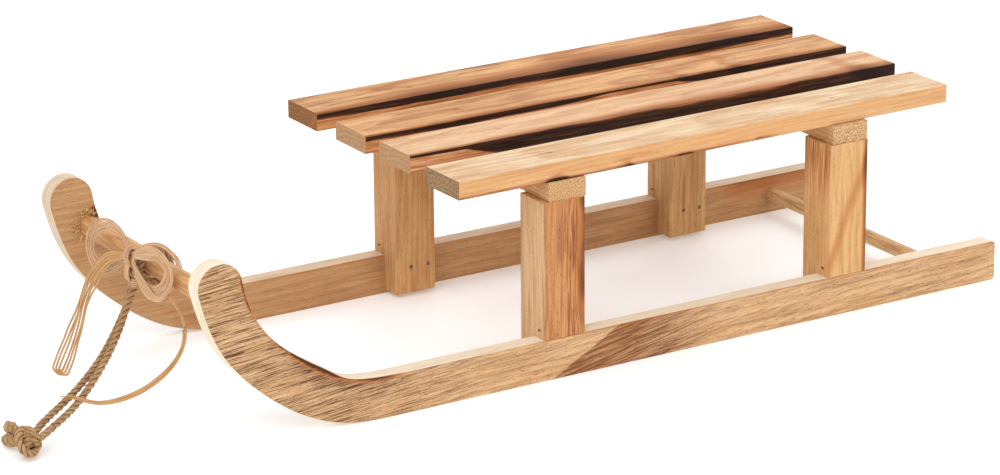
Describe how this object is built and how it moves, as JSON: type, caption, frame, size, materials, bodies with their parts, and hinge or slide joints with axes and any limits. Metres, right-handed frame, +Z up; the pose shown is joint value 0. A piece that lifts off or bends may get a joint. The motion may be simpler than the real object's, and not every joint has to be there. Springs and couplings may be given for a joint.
{
  "type": "wooden toboggan",
  "caption": "Small wooden toboggan: slatted seat on posts and bolsters, curled runners joined by a pull bar and a rear dowel, jute pull rope with a raffia bow.",
  "frame": {"origin": "on the ground under the middle of the wooden frame, without the rope and its tie", "axes": "+X forward to the curled horns, +Y to the left, +Z up"},
  "size_m": [0.6942, 0.212, 0.142],
  "materials": {
    "runner_wood": "scorched and brushed softwood",
    "post_wood": "sawn softwood with light scorching",
    "bolster_wood": "sawn softwood, end grain showing",
    "slat_pale_wood": "pale sawn softwood, edges scorched",
    "slat_pink_wood": "sawn softwood, edge scorched black",
    "slat_light_wood": "sawn softwood, edge scorched black",
    "slat_brown_wood": "sawn softwood, scorched brown",
    "dowel_wood": "turned softwood",
    "steel": "bare steel wire",
    "jute_rope": "laid jute",
    "raffia": "paper raffia"
  },
  "bodies": {
    "sledge": {"runner_left": "runner_wood", "runner_right": "runner_wood", "post_front_left": "post_wood", "post_front_right": "post_wood", "post_rear_left": "post_wood", "post_rear_right": "post_wood", "bolster_front": "bolster_wood", "bolster_rear": "bolster_wood", "slat_outer_left": "slat_pale_wood", "slat_inner_left": "slat_pink_wood", "slat_inner_right": "slat_light_wood", "slat_outer_right": "slat_brown_wood", "pull_bar": "dowel_wood", "rear_dowel": "dowel_wood", "slat_staples_front": "steel", "slat_staples_rear": "steel", "lap_brads_left": "steel", "lap_brads_right": "steel", "toe_brads": "steel", "bolster_brads": "steel"},
    "pull_rope": {"rope_hitch": "jute_rope", "rope_leg_left": "jute_rope", "rope_leg_right": "jute_rope", "rope_knot": "jute_rope", "tie_band": "raffia", "tie_loop_left": "raffia", "tie_loop_right": "raffia", "tie_tail_loop": "raffia", "tie_strand": "raffia"}
  },
  "joints": [
    {"name": "rope_swing", "type": "hinge", "parent": "sledge", "child": "pull_rope", "pos_m": [0.2735, -0.0065, 0.0868], "axis": [0, -1, 0], "range_deg": [0, 110]}
  ]
}
